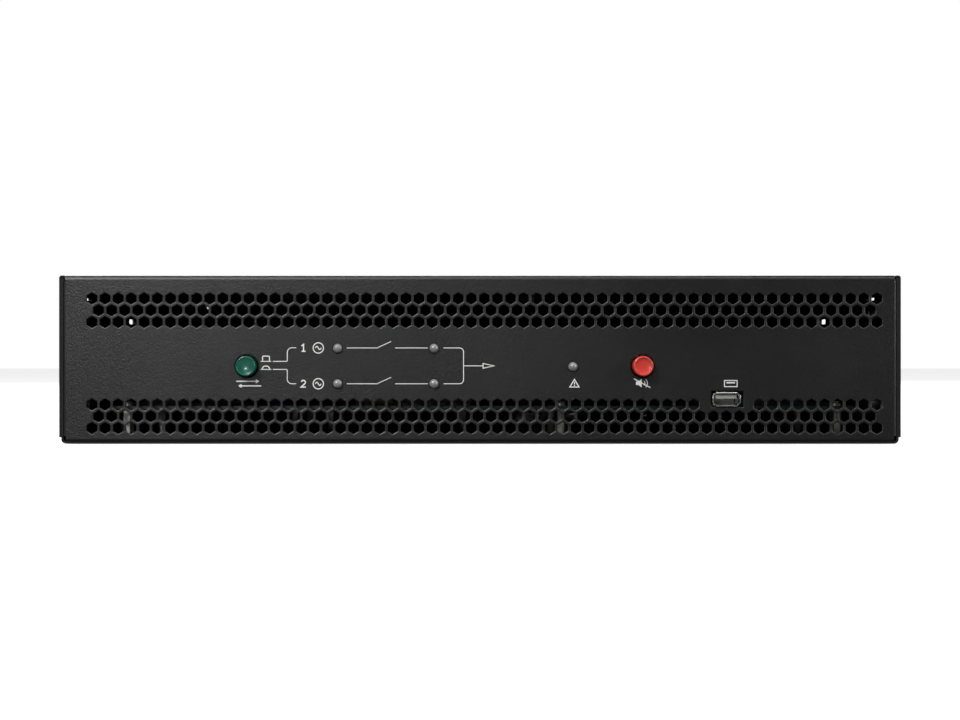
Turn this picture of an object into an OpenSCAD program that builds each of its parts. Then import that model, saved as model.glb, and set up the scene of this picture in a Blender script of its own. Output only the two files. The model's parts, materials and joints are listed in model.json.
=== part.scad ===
// Two-unit rack static transfer switch: a folded steel cabinet with a perforated
// front panel, two push buttons, five indicator lamps and a service port on the
// front, and fans, breakers, cable glands and signal connectors on the rear.
// Millimetres. X to the right seen from the front, Y to the rear, Z up.
// The origin is on the underside, midway between front panel and rear panel.

/* [Cabinet] */
// Outside width over the top cover
body_w = 440; // [438:1:444]
// Outside height, two rack units less the working gap
body_h = 88; // [87.5:0.1:88.5]
// Depth from the front panel face to the rear panel face
body_d = 450; // [440:5:480]
// Sheet thickness of the tray and of both end panels
sheet = 1.2; // [1:0.1:1.5]
// Sheet thickness of the top cover
cover_sheet = 1.0; // [0.8:0.1:1.2]
// Outside bend radius along the tray's lower edges
tray_bend = 2.4; // [2:0.1:3]
// Height at which the cover's side flanges end above the underside
cover_drop = 3.3; // [3:0.1:5]

/* [Perforation] */
// Spacing of the hexagonal holes along a row
hole_pitch = 6.83; // [6.8:0.01:6.86]
// Sideways offset of both bands from the panel's middle
hole_shift = 2.3; // [1.5:0.1:3]
// Width of one hexagonal hole across its flats
hole_flats = 5.4; // [4.6:0.1:5.5]
// Spacing between rows
row_pitch = 6.15; // [6:0.05:6.2]
// Height of the lower band's middle row
low_band_z = 14.35; // [14:0.05:14.6]
// Height of the upper band's middle row
high_band_z = 69.7; // [69:0.1:71]

/* [Front controls] */
// Diameter of the push button caps
button_d = 10.6; // [9:0.1:11]
// Diameter of the clearance holes around the button caps
button_hole_d = 12.2; // [11.8:0.1:13]
// How far a button stands in front of the panel
button_out = 5.5; // [4:0.5:6]
// Stroke of both buttons
button_stroke = 3; // [2:0.5:3]
// Diameter of the indicator lamps
lamp_d = 5; // [4.6:0.1:5]
// How far a lamp's dome stands in front of the panel
lamp_out = 2.6; // [2:0.1:3]

/* [Rear] */
// Fan frame width, square
fan_size = 80; // [78:1:80]
// Bore of the cable glands
gland_bore_d = 14; // [10:0.5:15]
// Swing of the breaker handles from off to on
breaker_throw = 44; // [36:1:46]

/* [Hidden] */
eps = 0.01;
x0 = body_w / 2;                       // outer face of the cover's sides
yf = -body_d / 2;                      // outer face of the front panel
yr = body_d / 2;                       // outer face of the rear panel
xt = x0 - cover_sheet - 0.1;           // outer face of the tray's walls
xi = xt - sheet;                       // inner face of the tray's walls
xp = xi - 0.1;                         // half width of both end panels
zc = body_h - cover_sheet;             // underside of the cover
zw = zc - 0.2;                         // top of the tray's walls
edge_in = 0.9;                         // tray and cover sides stand back from the front face
fp_top_r = 2.4;                        // outside bend radius, front panel top
fp_r = 1.5;                            // outside bend radius, other panel bends
fp_low = sheet + 0.1;                  // lower edge of both end panels
top_flange = 14;                       // depth of the front panel's top return
board_z = 18.0;                        // underside of the control board
board_t = 1.6;
board_front = yf + 6;
board_back = yf + 120;
disp_y = yf + 22;                      // front face of the display board
ear_y = [yf + 22, yf + 47];            // rack ear screw positions
ear_z = [19, 69];
btn_x = [-121.8, 84.8];                // transfer button, silence button
btn_z = 40.6;
lamp_x = [-74.3, -24.0];               // input lamps, output lamps
lamp_z = [49.9, 31.4];                 // source 1 line, source 2 line
fault_x = 48.5;
usb_x = 128.7;
usb_z = 23.3;
fan_x = [166, 82];
fan_z = 44.3;
fan_t = 25;
fan_y = yr - sheet - fan_t;            // front face of the fan frames
brk_x = [-2, -46];
brk_z = 44;
gland_x = [-104, -146, -188];
gland_z = 27;
hs = [46, 206, 30, 188];               // heatsink x and y extent
hs_top = 38;                           // heatsink mounting face
post_x = [-187.3, 43.0, 189.5];
post_y = [yf + 16, yf + 112];
slot_front = [-171, 77.6, 18, 1.6];    // side wall slots: y, z, length, height
slot_rear = [-56.5, 67.9, 19, 3.2];

// ---------- helpers ----------

// lays a flat X-Z shape upright, with its front face at y and its thickness to the rear
module upright(y, t) {
    translate([0, y + t, 0]) rotate([90, 0, 0]) linear_extrude(t) children();
}
// round bar along +Y
module bar_y(x, y, z, r, l, n = 32) {
    translate([x, y, z]) rotate([-90, 0, 0]) cylinder(r = r, h = l, $fn = n);
}
// round bar along +X
module bar_x(x, y, z, r, l, n = 32) {
    translate([x, y, z]) rotate([0, 90, 0]) cylinder(r = r, h = l, $fn = n);
}
module bar_z(x, y, z, r, l, n = 32) {
    translate([x, y, z]) cylinder(r = r, h = l, $fn = n);
}
module box(x, y, z, w, d, h) { translate([x, y, z]) cube([w, d, h]); }
// quarter of a bent sheet about the origin, quadrant given by the signs
module bend2d(r, t, sx, sy) {
    intersection() {
        difference() { circle(r = r, $fn = 48); circle(r = r - t, $fn = 48); }
        translate([sx > 0 ? 0 : -r - 1, sy > 0 ? 0 : -r - 1]) square([r + 1, r + 1]);
    }
}
// rectangle with the two lower corners rounded
module round_low2d(w, z0, z1, r) {
    translate([-w / 2, z0 + r]) square([w, z1 - z0 - r]);
    translate([-w / 2 + r, z0]) square([w - 2 * r, r + eps]);
    for (s = [-1, 1]) translate([s * (w / 2 - r), z0 + r]) circle(r = r, $fn = 48);
}
// rectangle with the two upper corners rounded
module round_high2d(w, z0, z1, r) {
    translate([-w / 2, z0]) square([w, z1 - z0 - r]);
    translate([-w / 2 + r, z1 - r - eps]) square([w - 2 * r, r + eps]);
    for (s = [-1, 1]) translate([s * (w / 2 - r), z1 - r]) circle(r = r, $fn = 48);
}
// cross recess, cutting from z = 0 downwards
module cross_cut(r, d) {
    translate([-r, -r * 0.22, -d]) cube([2 * r, r * 0.44, d + 0.5]);
    translate([-r * 0.22, -r, -d]) cube([r * 0.44, 2 * r, d + 0.5]);
}
// countersunk screw, head face at z = 0, shank downwards
module csk(head_r, head_h, shank_r, l) {
    difference() {
        union() {
            translate([0, 0, -head_h]) cylinder(r1 = head_r - head_h, r2 = head_r, h = head_h, $fn = 32);
            translate([0, 0, -l]) cylinder(r = shank_r, h = l - head_h + eps, $fn = 24);
        }
        cross_cut(head_r * 0.62, head_h * 0.7);
    }
}
// low cylinder-head screw, head seat at z = 0, head upwards, shank downwards
module pan(head_r, head_h, shank_r, l) {
    difference() {
        union() {
            cylinder(r = head_r, h = head_h * 0.6, $fn = 32);
            translate([0, 0, head_h * 0.6 - eps]) cylinder(r1 = head_r, r2 = head_r * 0.78, h = head_h * 0.4 + eps, $fn = 32);
            translate([0, 0, -l]) cylinder(r = shank_r, h = l + eps, $fn = 24);
        }
        translate([0, 0, head_h]) cross_cut(head_r * 0.6, head_h * 0.6);
    }
}
// the same screw pointing along -Y into the rear panel, its seat on the plane y
module pan_rear(x, y, z, head_r, head_h, shank_r, l) {
    translate([x, y, z]) rotate([-90, 0, 0]) pan(head_r, head_h, shank_r, l);
}

// ---------- cabinet ----------

side_screw_y = [-110, 18, 150];
top_screw_x = [-180, 0, 180];
rail_screw_y = yf + 22;
rear_screw_y = yr - 8;

// rounded slots through one side wall and the cover's flange on it
module side_slots(x, w) {
    for (q = [slot_front, slot_rear]) translate([x, q[0], q[1]]) rotate([90, 0, 90]) linear_extrude(w) {
        translate([-(q[2] - q[3]) / 2, -q[3] / 2]) square([q[2] - q[3], q[3]]);
        for (e = [-1, 1]) translate([e * (q[2] - q[3]) / 2, 0]) circle(d = q[3], $fn = 32);
    }
}

module base_chassis() {
    color([0.07, 0.07, 0.075])
    difference() {
        translate([0, yr - 0.3, 0]) rotate([90, 0, 0])
            linear_extrude(body_d - edge_in - 0.3)
                difference() {
                    round_low2d(2 * xt, 0, zw, tray_bend);
                    round_low2d(2 * xi, sheet, zw + 5, tray_bend - sheet);
                }
        // clinch nut seats for the rack ears
        for (s = [-1, 1], y = ear_y, z = ear_z)
            bar_x(s > 0 ? xi - 1 : -xt - 1, y, z, 3.0, sheet + 2);
        // cover screws
        for (s = [-1, 1], y = side_screw_y)
            bar_x(s > 0 ? xi - 1 : -xt - 1, y, 72, 1.6, sheet + 2);
        // end panel screws
        for (s = [-1, 1], y = [yf + 7, yr - 7], z = [24, 62])
            translate([s * xt, y, z]) rotate([0, s * 90, 0])
                translate([0, 0, -sheet]) cylinder(r1 = 1.65, r2 = 2.85, h = sheet + eps, $fn = 32);
        for (x = [xi - 1, -xt - 1]) side_slots(x, sheet + 2);
    }
}

module front_face2d() {
    difference() {
        translate([-xp + fp_r, fp_low + fp_r])
            square([2 * (xp - fp_r), body_h - fp_top_r - fp_low - fp_r]);
        for (r = [-1 : 1], b = [0, 1]) {
            n = (r == 0) ? 60 : 61;
            for (k = [0 : n - 1])
                if (!(b == 0 && r == 1 && k > 46 && k < 51))
                    translate([hole_shift + (k - (n - 1) / 2) * hole_pitch,
                               (b == 0 ? low_band_z : high_band_z) + r * row_pitch])
                        rotate(30) circle(r = hole_flats / sqrt(3), $fn = 6);
        }
        for (x = btn_x) translate([x, btn_z]) circle(d = button_hole_d, $fn = 64);
        for (x = lamp_x, z = lamp_z) translate([x, z]) circle(d = lamp_d + 0.2, $fn = 48);
        translate([fault_x, btn_z - 0.3]) circle(d = lamp_d + 0.2, $fn = 48);
        translate([usb_x - 8.0, usb_z - 4.3]) square([16.9, 8.7]);
    }
}

// the flat perforated face; its four returns meet it at the start of their bends
module front_panel() { color([0.075, 0.075, 0.08]) upright(yf, sheet) front_face2d(); }
module front_panel_returns() {
    color([0.075, 0.075, 0.08])
    difference() {
        union() {
            // top return
            translate([-xp + 1, 0, 0]) rotate([90, 0, 90]) linear_extrude(2 * (xp - 1)) {
                translate([yf + fp_top_r, body_h - fp_top_r]) bend2d(fp_top_r, sheet, -1, 1);
                translate([yf + fp_top_r, body_h - sheet]) square([top_flange - fp_top_r, sheet]);
            }
            // bottom return
            translate([-xp + 1.2, 0, 0]) rotate([90, 0, 90]) linear_extrude(2 * (xp - 1.2)) {
                translate([yf + fp_r, fp_low + fp_r]) bend2d(fp_r, sheet, -1, -1);
                translate([yf + fp_r, fp_low]) square([12 - fp_r, sheet]);
            }
            // side returns
            for (s = [-1, 1])
                translate([0, 0, 4.1]) linear_extrude(body_h - fp_top_r - 4.1 - 0.2) {
                    translate([s * (xp - fp_r), yf + fp_r]) bend2d(fp_r, sheet, s, -1);
                    translate([s > 0 ? xp - sheet : -xp, yf + fp_r]) square([sheet, 12 - fp_r]);
                }
        }
        for (s = [-1, 1], z = [24, 62])
            bar_x(s > 0 ? xp - sheet - 1 : -xp - 1, yf + 7, z, 1.55, sheet + 2);
    }
}

module rear_face2d() {
    difference() {
        translate([-xp + fp_r, fp_low + fp_r])
            square([2 * (xp - fp_r), zc - 0.1 - 2 * fp_r - fp_low]);
        for (x = fan_x) {
            translate([x, fan_z]) circle(d = 76, $fn = 96);
            for (a = [-1, 1], b = [-1, 1]) translate([x + a * 35.75, fan_z + b * 35.75]) circle(d = 4.4, $fn = 32);
        }
        for (x = brk_x) {
            for (p = [-1, 1]) translate([x + p * 9.5 - 7.3, brk_z - 12.3]) square([14.6, 24.6]);
            for (p = [-1, 1], q = [-1, 1]) translate([x + p * 9.5, brk_z + q * 25]) circle(d = 3.4, $fn = 32);
        }
        for (x = gland_x) translate([x, gland_z]) circle(d = 25.6, $fn = 64);
        translate([29.5, 20]) circle(d = 6.6, $fn = 32);
        // serial port
        translate([-112 - 9.8, 71 - 5.3]) square([19.6, 10.6]);
        for (p = [-1, 1]) translate([-112 + p * 12.5, 71]) circle(d = 3.4, $fn = 32);
        // contact header
        translate([-112 - 15.3, 53.4]) square([30.6, 8.6]);
        // card slot
        translate([-168 - 22, 55]) square([44, 20]);
        for (p = [-1, 1]) translate([-168 + p * 28, 65]) circle(d = 3.6, $fn = 32);
    }
}

module rear_panel() { color([0.075, 0.075, 0.08]) upright(yr - sheet, sheet) rear_face2d(); }
module rear_panel_returns() {
    color([0.075, 0.075, 0.08])
    difference() {
        union() {
            translate([-xp + 2.7, 0, 0]) rotate([90, 0, 90]) linear_extrude(2 * (xp - 2.7)) {
                translate([yr - fp_r, zc - 0.1 - fp_r]) bend2d(fp_r, sheet, 1, 1);
                translate([yr - 14, zc - 0.1 - sheet]) square([14 - fp_r, sheet]);
                translate([yr - fp_r, fp_low + fp_r]) bend2d(fp_r, sheet, 1, -1);
                translate([yr - 12, fp_low]) square([12 - fp_r, sheet]);
            }
            for (s = [-1, 1])
                translate([0, 0, 4.9]) linear_extrude(zc - 0.1 - fp_r - 4.9 - 0.2) {
                    translate([s * (xp - fp_r), yr - fp_r]) bend2d(fp_r, sheet, s, 1);
                    translate([s > 0 ? xp - sheet : -xp, yr - 12]) square([sheet, 12 - fp_r]);
                }
        }
        for (s = [-1, 1], z = [24, 62])
            bar_x(s > 0 ? xp - sheet - 1 : -xp - 1, yr - 7, z, 1.55, sheet + 2);
        for (x = top_screw_x) bar_z(x, rear_screw_y, zc - 3, 1.55, 4);
    }
}

module top_cover() {
    color([0.07, 0.07, 0.075])
    difference() {
        translate([0, yr, 0]) rotate([90, 0, 0])
            linear_extrude(body_d - edge_in)
                difference() {
                    round_high2d(2 * x0, cover_drop, body_h, cover_sheet + 0.3);
                    round_high2d(2 * (x0 - cover_sheet), cover_drop - 5, zc, 0.3);
                }
        box(-xp + 0.1, yf - 1, zc - 1.5, 2 * xp - 0.2, top_flange + 1.5, 5);
        for (s = [-1, 1], y = ear_y, z = ear_z)
            bar_x(s > 0 ? x0 - cover_sheet - 1 : -x0 - 1, y, z, 2.25, cover_sheet + 2);
        for (s = [-1, 1], y = side_screw_y)
            translate([s * x0, y, 72]) rotate([0, s * 90, 0])
                translate([0, 0, -cover_sheet]) cylinder(r1 = 1.95, r2 = 1.95 + cover_sheet, h = cover_sheet + eps, $fn = 32);
        for (x = [x0 - cover_sheet - 1, -x0 - 1]) side_slots(x, cover_sheet + 2);
        for (x = top_screw_x, y = [rail_screw_y, rear_screw_y])
            translate([x, y, body_h])
                translate([0, 0, -cover_sheet]) cylinder(r1 = 1.95, r2 = 1.95 + cover_sheet, h = cover_sheet + eps, $fn = 32);
    }
}

// rail behind the front panel's top return, and the plate that steers the air through the heatsink
module rail_and_baffle() {
    color([0.07, 0.07, 0.075]) {
        difference() {
            translate([-xp + 3.2, 0, 0]) rotate([90, 0, 90]) linear_extrude(2 * (xp - 3.2)) {
                translate([yf + 4, body_h - sheet - 1.5]) square([24, 1.5]);
                translate([yf + 26.5, body_h - sheet - 6.5]) square([1.5, 6.5]);
            }
            for (x = top_screw_x) bar_z(x, rail_screw_y, zc - 4, 1.55, 6);
        }
        box(40, hs[2] - 1.2, hs_top - 9, xi - 0.4 - 40, 1.2, 86.6 - hs_top + 9);
        box(40, hs[2] - 11, 85.4, xi - 0.4 - 40, 10, 1.2);
    }
}

module cover_screws() {
    color([0.12, 0.12, 0.13]) {
        for (s = [-1, 1], y = side_screw_y)
            translate([s * x0, y, 72]) rotate([0, s * 90, 0]) csk(1.85 + cover_sheet, cover_sheet, 1.5, 6);
        for (x = top_screw_x, y = [rail_screw_y, rear_screw_y])
            translate([x, y, body_h]) csk(1.85 + cover_sheet, cover_sheet, 1.5, y > 0 ? 3.3 : 6);
    }
}

module panel_screws() {
    color([0.62, 0.63, 0.65])
    for (s = [-1, 1], y = [yf + 7, yr - 7], z = [24, 62])
        translate([s * xt, y, z]) rotate([0, s * 90, 0]) csk(2.75, sheet, 1.5, 5);
}

module ear_clinch_nuts() {
    color([0.72, 0.72, 0.7])
    for (s = [-1, 1], y = ear_y, z = ear_z)
        difference() {
            union() {
                bar_x(s > 0 ? xi : -xt + 0.1, y, z, 2.9, sheet - 0.1);
                bar_x(s > 0 ? xi - 2.2 : -xi, y, z, 4.0, 2.2);
            }
            bar_x(s > 0 ? xi - 3 : -xt - 1, y, z, 2.0, 6);
        }
}

// ---------- front controls ----------

// cap with a shallow dished face and a narrow rim, face towards -Y, face plane at y
module button_cap(x, y, rim) {
    r = button_d / 2;
    translate([x, y, btn_z]) rotate([-90, 0, 0]) difference() {
        union() {
            rotate_extrude($fn = 96) polygon([
                [0, 0.3], [r - rim, 0.3], [r - rim + 0.3, 0], [r - 0.55, 0], [r - 0.3, 0.1],
                [r - 0.15, 0.4], [r, 2.0], [r, 10.0], [0, 10.0]]);
            translate([-1.6, -1.6, 9]) cube([3.2, 3.2, 5.2]);
        }
        translate([0, 0, 7.8]) difference() {
            cylinder(r = r - 1.1, h = 3, $fn = 64);
            cylinder(r = 2.6, h = 3, $fn = 32);
        }
    }
}
module button_switch(x, y) {
    difference() {
        union() {
            translate([x - 4.25, y, btn_z - 4.25]) cube([8.5, disp_y - y, 8.5]);
            for (p = [-1, 1], q = [-1, 1])
                box(x + p * 2.5 - 0.3, disp_y - eps, btn_z + q * 2.2 - 0.3, 0.6, 3.6, 0.6);
        }
        translate([x - 1.65, y - 1, btn_z - 1.65]) cube([3.3, 9.5, 3.3]);
    }
}
btn_face_y = yf - button_out;
sw_front = btn_face_y + 10 + button_stroke + 0.4;

module transfer_button() { color([0.0, 0.30, 0.22]) button_cap(btn_x[0], btn_face_y, 0.9); }
module silence_button() { color([0.78, 0.16, 0.13]) button_cap(btn_x[1], btn_face_y + 0.4, 1.5); }
module button_switches() {
    color([0.12, 0.12, 0.13]) { button_switch(btn_x[0], sw_front); button_switch(btn_x[1], sw_front + 0.4); }
}

// domed lamp with a base collar, dome towards -Y
module lamp(x, z) {
    r = lamp_d / 2 - 0.05;
    difference() {
        union() {
            bar_y(x, yf - lamp_out + r, z, r, 6 + lamp_out - r, 48);
            translate([x, yf - lamp_out + r, z]) sphere(r = r, $fn = 48);
            bar_y(x, yf + 5, z, 2.9, 1, 48);
        }
        translate([x - 3.2, yf + 4.5, z - 5.6]) cube([6.4, 2, 3.0]);
    }
    for (p = [-1, 1]) box(x + p * 1.27 - 0.25, yf + 6 - eps, z - 0.25, 0.5, 19.6, 0.5);
}
module source1_input_lamp() { color([0.5, 0.5, 0.5]) lamp(lamp_x[0], lamp_z[0]); }
module source1_output_lamp() { color([0.5, 0.5, 0.5]) lamp(lamp_x[1], lamp_z[0]); }
module source2_input_lamp() { color([0.5, 0.5, 0.5]) lamp(lamp_x[0], lamp_z[1]); }
module source2_output_lamp() { color([0.5, 0.5, 0.5]) lamp(lamp_x[1], lamp_z[1]); }
module fault_lamp() { color([0.5, 0.5, 0.5]) lamp(fault_x, btn_z - 0.3); }

module spacer(x, z) {
    difference() {
        bar_y(x, yf + 6, z, 2.9, disp_y - yf - 6, 32);
        for (p = [-1, 1]) box(x + p * 1.27 - 0.35, yf, z - 0.35, 0.7, 30, 0.7);
    }
}
module lamp_spacers() {
    color([0.05, 0.05, 0.05]) {
        for (x = lamp_x, z = lamp_z) spacer(x, z);
        spacer(fault_x, btn_z - 0.3);
    }
}

disp_post_x = [-136, 100];
disp_post_z = [30, 54];
module display_board() {
    color([0.05, 0.25, 0.12])
    difference() {
        box(-140, disp_y, 26, 244, board_t, 32);
        for (x = disp_post_x, z = disp_post_z) bar_y(x, disp_y - 1, z, 1.6, 4);
        for (x = lamp_x, z = lamp_z, p = [-1, 1]) box(x + p * 1.27 - 0.4, disp_y - 1, z - 0.4, 0.8, 4, 0.8);
        for (p = [-1, 1]) box(fault_x + p * 1.27 - 0.4, disp_y - 1, btn_z - 0.7, 0.8, 4, 0.8);
        for (x = btn_x, p = [-1, 1], q = [-1, 1])
            box(x + p * 2.5 - 0.4, disp_y - 1, btn_z + q * 2.2 - 0.4, 0.8, 4, 0.8);
    }
}
module alarm_buzzer() {
    color([0.06, 0.06, 0.06])
    difference() {
        bar_y(8, disp_y - 9.5, 41, 6, 9.5, 48);
        bar_y(8, disp_y - 10, 41, 1.2, 4, 24);
    }
}

// service port: thin steel shell with four flared lips, on a plastic base with a tongue
module usb_shell() {
    color([0.78, 0.78, 0.79]) {
        w = 13.2; h = 5.9; t = 0.35; yb = yf + 14;
        difference() {
            box(usb_x - w / 2, yf + 0.4, usb_z - h / 2, w, yb - yf - 0.4, h);
            box(usb_x - w / 2 + t, yf, usb_z - h / 2 + t, w - 2 * t, yb - yf - t, h - 2 * t);
        }
        // flared lips
        for (s = [-1, 1]) {
            translate([usb_x - 5.6, 0, usb_z]) rotate([90, 0, 90]) linear_extrude(11.2)
                polygon([[yf + 0.4, s * (h / 2 - t)], [yf + 0.4, s * h / 2], [yf - 0.55, s * 3.68], [yf - 0.75, s * 3.45]]);
            translate([usb_x, 0, usb_z - 2.1]) linear_extrude(4.2)
                polygon([[s * (w / 2 - t), yf + 0.4], [s * w / 2, yf + 0.4], [s * 7.32, yf - 0.55], [s * 7.1, yf - 0.75]]);
        }
    }
}
module usb_insulator() {
    color([0.85, 0.85, 0.83]) {
        box(usb_x - 5.9, yf + 11, usb_z - 2.55, 11.8, 2.6, 5.1);
        box(usb_x - 5.5, yf + 1.2, usb_z + 0.35, 11, 10, 1.75);
        // base between the shell and the board
        box(usb_x - 6.6, board_front + 0.2, board_z + board_t, 13.2, 8, usb_z - 2.95 - board_z - board_t);
    }
}

// ---------- control board ----------

module control_board() {
    color([0.05, 0.25, 0.12])
    difference() {
        box(-194, board_front, board_z, 391, board_back - board_front, board_t);
        for (x = post_x, y = post_y) bar_z(x, y, board_z - 1, 1.7, 4);
    }
}
supply_x = [-200, -96];
supply_y = -76;
supply_z = 12;
module hex_posts() {
    color([0.82, 0.82, 0.8]) {
        for (x = post_x, y = post_y)
            translate([x, y, sheet]) cylinder(r = 3.2, h = board_z - sheet, $fn = 6);
        for (x = disp_post_x, z = disp_post_z)
            translate([x, yf + sheet, z]) rotate([-90, 0, 0]) cylinder(r = 3.2, h = disp_y - yf - sheet, $fn = 6);
        for (x = supply_x, a = [5, 87], b = [5, 91])
            translate([x + a, supply_y + b, sheet]) cylinder(r = 3.2, h = supply_z - sheet, $fn = 6);
    }
}
module board_screws() {
    color([0.82, 0.82, 0.83]) {
        for (x = post_x, y = post_y)
            translate([x, y, board_z + board_t]) pan(2.9, 2.2, 1.5, board_t);
        for (x = disp_post_x, z = disp_post_z)
            translate([x, disp_y + board_t, z]) rotate([-90, 0, 0]) pan(2.8, 2.0, 1.5, board_t);
        for (x = supply_x, a = [5, 87], b = [5, 91])
            translate([x + a, supply_y + b, supply_z + board_t]) pan(2.8, 2.0, 1.5, board_t);
    }
}
relay_x = [-165, -140, -115, -90, 60, 85, 150, 175];
module relays() {
    color([0.1, 0.13, 0.3])
    for (x = relay_x) box(x - 9.5, yf + 62, board_z + board_t, 19, 15.5, 15.6);
}
module capacitor(x, y, z, r, h) {
    difference() {
        bar_z(x, y, z, r, h, 48);
        translate([x, y, z + h]) cross_cut(r * 0.65, 0.6);
    }
}
module capacitors() {
    color([0.08, 0.08, 0.1]) {
        for (x = [-175, -155, -135, 110, 130]) capacitor(x, yf + 96, board_z + board_t, 8, 30);
        for (x = supply_x) {
            capacitor(x + 16, -30, supply_z + board_t, 9, 32);
            capacitor(x + 78, -30, supply_z + board_t, 9, 32);
            capacitor(x + 70, 4, supply_z + board_t, 6, 22);
        }
    }
}
// laminated core around a wound bobbin
module transformer(x, y, z, w, d, h) {
    box(x - w / 2, y - d / 2, z, w, d, h);
    difference() {
        box(x - w / 2 + 5, y - d / 2 - 6, z, w - 10, d + 12, h - 4);
        box(x - w / 2, y - d / 2 + 1, z - 1, w, d - 2, h);
    }
}
module transformers() {
    color([0.62, 0.5, 0.16]) {
        for (x = [-60, -15]) transformer(x, yf + 97, board_z + board_t, 32, 26, 24);
        for (x = supply_x) transformer(x + 47, -34, supply_z + board_t, 34, 28, 26);
    }
}
module board_chips() {
    color([0.04, 0.04, 0.04]) {
        box(-8, yf + 40, board_z + board_t, 14, 14, 1.6);
        box(20, yf + 44, board_z + board_t, 10, 6, 1.6);
        box(-40, yf + 44, board_z + board_t, 10, 6, 1.6);
        for (x = [-120, -100, -80]) box(x - 4, yf + 44, board_z + board_t, 9, 6.5, 3.4);
        for (x = [60, 78, 96]) box(x - 4, yf + 44, board_z + board_t, 9, 6.5, 3.4);
    }
}
module board_connectors() {
    color([0.86, 0.86, 0.82]) {
        box(-45, disp_y - 4, board_z + board_t, 40, 8, 26 - board_z - board_t);
        for (x = [-170, -140, 30, 160]) difference() {
            box(x - 11, yf + 30, board_z + board_t, 22, 6.5, 9);
            box(x - 10, yf + 31, board_z + board_t + 3, 20, 4.5, 7);
        }
    }
}
module surge_discs() {
    color([0.1, 0.25, 0.5])
    for (x = [-178, -165, -152, -139]) {
        bar_y(x, yf + 50, board_z + board_t + 8, 5.5, 4.5, 48);
        for (p = [-1, 1]) box(x + p * 2.5 - 0.4, yf + 51.8, board_z + board_t, 0.8, 0.8, 5);
    }
}

// ---------- power stage ----------

module heatsink() {
    color([0.55, 0.56, 0.58])
    translate([0, hs[3], 0]) rotate([90, 0, 0]) linear_extrude(hs[3] - hs[2]) {
        translate([hs[0], hs_top - 9]) square([hs[1] - hs[0], 9]);
        for (k = [0 : 19]) translate([hs[0] + k * (hs[1] - hs[0] - 2) / 19, 7]) square([2, hs_top - 15]);
    }
}
module heatsink_feet() {
    color([0.6, 0.61, 0.63])
    for (x = [hs[0] - 14, hs[1] - 1.5 + 1.5]) for (y = [hs[2] + 6, hs[3] - 30]) {
        left = x < hs[0];
        box(left ? x : x, y, sheet, left ? 14 : 10, 24, 1.5);
        box(left ? hs[0] - 1.5 : hs[1], y, sheet + 1.5 - eps, 1.5, 24, hs_top - sheet - 1.5);
    }
}
mod_x = [62, 98, 134, 170];
mod_y = 64;
module power_module(x) {
    difference() {
        union() {
            box(x, mod_y, hs_top, 20, 92, 4);
            box(x + 0.5, mod_y + 12, hs_top + 4 - eps, 19, 68, 24);
        }
        for (k = [0 : 2]) bar_z(x + 10, mod_y + 23 + k * 23, hs_top + 18, 2.6, 12, 32);
        for (y = [mod_y + 6, mod_y + 86]) bar_z(x + 10, y, hs_top - 1, 3.2, 6, 32);
    }
}
module thyristor_modules() { color([0.1, 0.1, 0.1]) for (x = mod_x) power_module(x); }
// flat copper links on the module terminals
bus_z = hs_top + 28;
module link(x, y, w, d) {
    difference() {
        box(x, y, bus_z, w, d, 2);
        children();
    }
}
module input_busbars() {
    color([0.75, 0.42, 0.22])
    for (i = [0, 2])
        link(mod_x[i] + 2, mod_y + 17, mod_x[i + 1] - mod_x[i] + 16, 12)
            for (j = [i, i + 1]) bar_z(mod_x[j] + 10, mod_y + 23, bus_z - 1, 2.6, 4);
}
module output_busbar() {
    color([0.75, 0.42, 0.22])
    link(mod_x[0] + 2, mod_y + 63, mod_x[3] - mod_x[0] + 16, 12)
        for (x = mod_x) bar_z(x + 10, mod_y + 69, bus_z - 1, 2.6, 4);
}
module power_screws() {
    color([0.75, 0.76, 0.78]) {
        for (x = mod_x, y = [mod_y + 6, mod_y + 86]) translate([x + 10, y, hs_top + 4]) pan(4.6, 4, 2.9, 4);
        for (x = mod_x, y = [mod_y + 23, mod_y + 69]) translate([x + 10, y, bus_z + 2]) pan(4.4, 3.2, 2.5, 10);
    }
}
module current_transformers() {
    color([0.1, 0.2, 0.42])
    for (x = [80, 126, 172]) difference() {
        union() {
            bar_y(x, -46, 28, 19, 16, 64);
            box(x - 16, -46, sheet, 32, 16, 10);
        }
        bar_y(x, -50, 28, 8, 24, 48);
    }
}
module auxiliary_boards() {
    color([0.05, 0.25, 0.12]) {
        for (x = supply_x) difference() {
            box(x, supply_y, supply_z, 92, 96, board_t);
            for (a = [5, 87], b = [5, 91]) bar_z(x + a, supply_y + b, supply_z - 1, 1.7, 4);
        }
        box(-131, yr - 10.8, 47, 38, board_t, 36);
    }
}
module inner_terminals() {
    color([0.55, 0.57, 0.56])
    for (x = gland_x, k = [-1 : 1]) difference() {
        box(x + k * 11 - 5.2, 118, sheet, 10.4, 42, 30);
        bar_z(x + k * 11, 125, 12, 3, 30);
        bar_z(x + k * 11, 153, 12, 3, 30);
        bar_y(x + k * 11, 148, 10, 3.4, 20);
        bar_y(x + k * 11, 110, 10, 3.4, 20);
    }
}

// ---------- rear ----------

module fan_frame(x) {
    h = fan_size / 2;
    difference() {
        box(x - h, fan_y, fan_z - h, fan_size, fan_t, fan_size);
        bar_y(x, fan_y - 1, fan_z, 37.8, fan_t + 2, 96);
        for (a = [-1, 1], b = [-1, 1]) {
            bar_y(x + a * 35.75, fan_y - 1, fan_z + b * 35.75, 2.15, fan_t + 2, 32);
        }
        // waist between the two mounting flanges
        for (a = [-1, 1], b = [-1, 1])
            box(x + (a > 0 ? h - 7 : -h - 1), fan_y + 4, fan_z + (b > 0 ? h - 7 : -h - 1), 8, fan_t - 8, 8);
    }
}
module fan_frames() { color([0.05, 0.05, 0.055]) for (x = fan_x) fan_frame(x); }
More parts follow.
